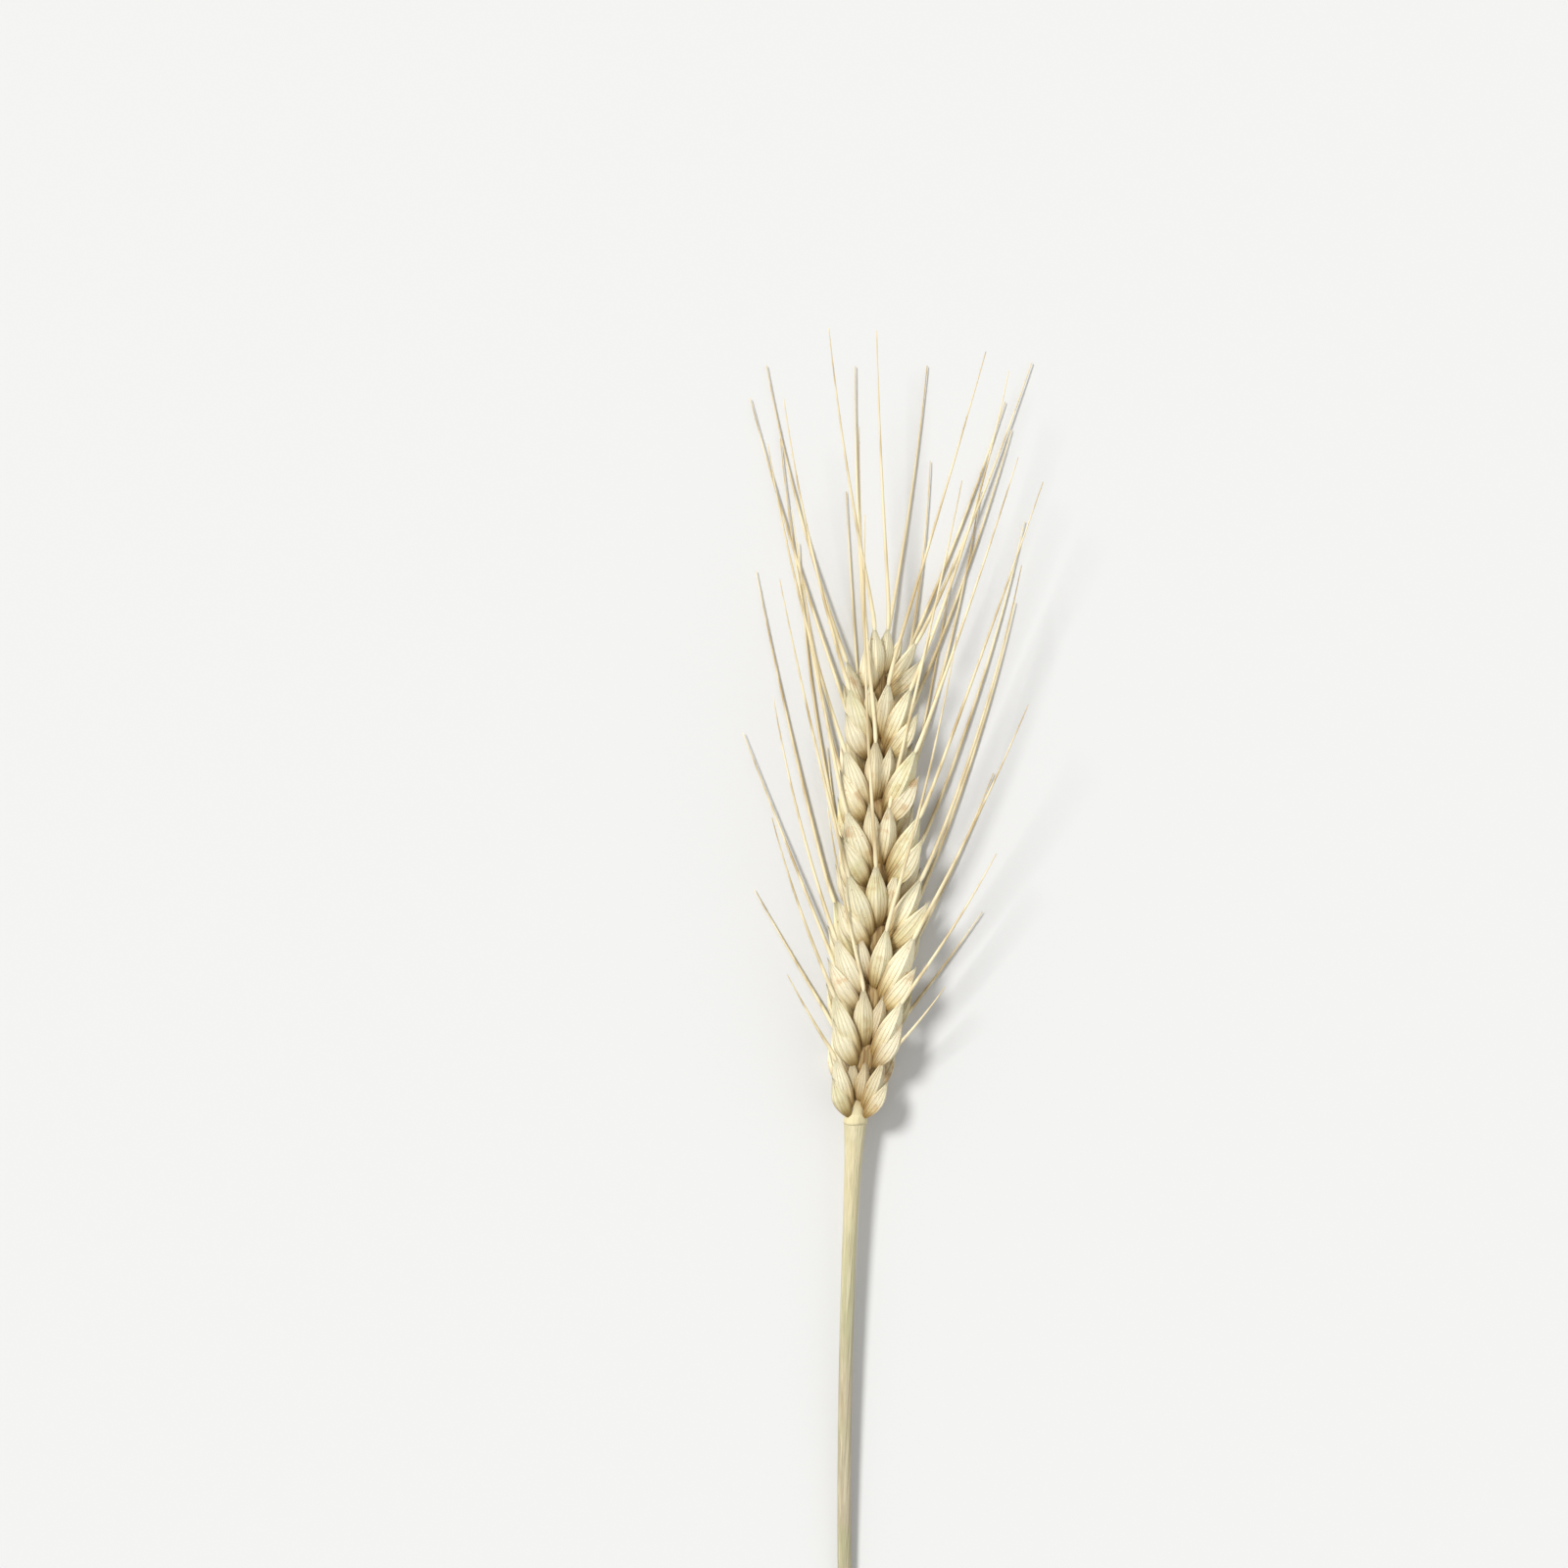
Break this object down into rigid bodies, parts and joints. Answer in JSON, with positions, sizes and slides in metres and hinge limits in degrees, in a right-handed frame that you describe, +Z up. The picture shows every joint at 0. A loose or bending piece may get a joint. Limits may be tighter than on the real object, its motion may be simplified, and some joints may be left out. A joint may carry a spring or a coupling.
{
  "type": "wheat ear",
  "caption": "Bearded ear of ripe wheat on a short length of cut straw, with two rows of spikelets and long stiff awns, lying with one row above the other.",
  "frame": {"origin": "on the surface that the ear lies on, below the middle of the whole part with its awns", "axes": "+Y along the straw and ear from the cut end towards the awn tips, +Z up from the surface, one row of spikelets on the upper side and one on the lower, their fans opening towards +X and -X"},
  "size_m": [0.0484, 0.2096, 0.0209],
  "materials": {
    "straw": "dry ripe straw, smooth and slightly glossy, pale cream to grey-green",
    "ear": "dry papery husks and bristles, matt cream to golden straw with brown shadows"
  },
  "bodies": {
    "root": {"straw": "straw", "ear": "ear"}
  },
  "joints": []
}
